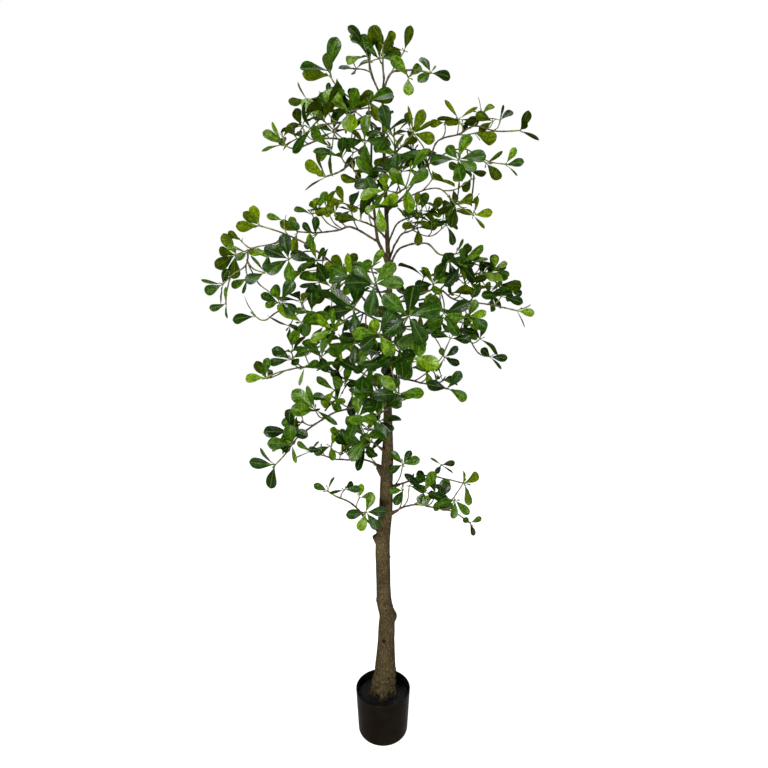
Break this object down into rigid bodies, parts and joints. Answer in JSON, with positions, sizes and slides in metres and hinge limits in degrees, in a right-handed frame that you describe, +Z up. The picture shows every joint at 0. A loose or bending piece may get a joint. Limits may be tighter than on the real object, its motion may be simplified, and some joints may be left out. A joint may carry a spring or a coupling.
{
  "type": "potted black olive tree",
  "caption": "Slim artificial black olive tree with a stubbed trunk, wiry limbs and whorls of rounded leaves, weighted in a small black pot.",
  "frame": {"origin": "centre of the pot's flat base, on the floor", "axes": "+Z up along the tree's height, -Y towards the side seen in front, +X to the right of that side"},
  "size_m": [0.9423, 0.6918, 2.1518],
  "materials": {
    "pot_plastic": "satin black moulded plastic",
    "cement": "cast grey cement",
    "gravel": "dark grey grit",
    "bark": "matte mottled tan-brown bark",
    "leaf": "semi-gloss dark green leaf"
  },
  "bodies": {
    "root": {"pot": "pot_plastic", "pot_weight": "cement", "gravel_bed": "gravel", "trunk": "bark", "spray_back_high": "leaf", "spray_back_left": "leaf", "spray_back_left_high": "leaf", "spray_back_right": "leaf", "spray_bend_left": "leaf", "spray_fork_back": "leaf", "spray_fork_back_low": "leaf", "spray_fork_left": "leaf", "spray_fork_top": "leaf", "spray_front_high": "leaf", "spray_front_left": "leaf", "spray_front_low": "leaf", "spray_front_lowest": "leaf", "spray_front_mid": "leaf", "spray_front_right_high": "leaf", "spray_front_right_low": "leaf", "spray_knot_right": "leaf", "spray_leader_left_high": "leaf", "spray_leader_left_low": "leaf", "spray_left_big": "leaf", "spray_left_low": "leaf", "spray_left_mid": "leaf", "spray_left_mid_low": "leaf", "spray_low_left": "leaf", "spray_low_right": "leaf", "spray_right_arch": "leaf", "spray_right_back": "leaf", "spray_right_back_high": "leaf", "spray_right_long": "leaf", "spray_right_low": "leaf", "spray_right_lowest": "leaf", "spray_right_up": "leaf", "spray_stem_left": "leaf", "spray_stub_left": "leaf", "spray_top_leader": "leaf", "spray_top_left": "leaf", "spray_top_right": "leaf", "spray_upper_back": "leaf", "spray_upper_front": "leaf", "spray_upper_left_front": "leaf", "spray_upper_left_long": "leaf", "spray_upper_mid": "leaf", "spray_upper_right_long": "leaf"}
  },
  "joints": []
}
